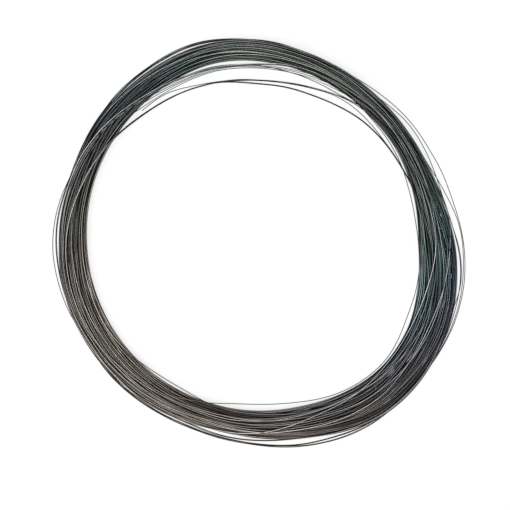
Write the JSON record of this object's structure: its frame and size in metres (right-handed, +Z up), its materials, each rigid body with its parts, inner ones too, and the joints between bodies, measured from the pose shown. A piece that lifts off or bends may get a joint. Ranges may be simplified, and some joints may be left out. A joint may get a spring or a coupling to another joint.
{
  "type": "coil of annealed wire",
  "caption": "Flat-lying ring-shaped coil of thin, soft, dark annealed steel wire with an open bore, stock for tying and binding.",
  "frame": {"origin": "centre of the bore, on the floor that the coil lies on", "axes": "+Z up along the bore, +Y towards the top of the picture, +X towards its right"},
  "size_m": [0.216, 0.216, 0.007],
  "materials": {
    "annealed_wire": "dark annealing oxide, satin, with faint brown, violet and blue temper tints"
  },
  "bodies": {
    "root": {"wire_coil": "annealed_wire"}
  },
  "joints": []
}
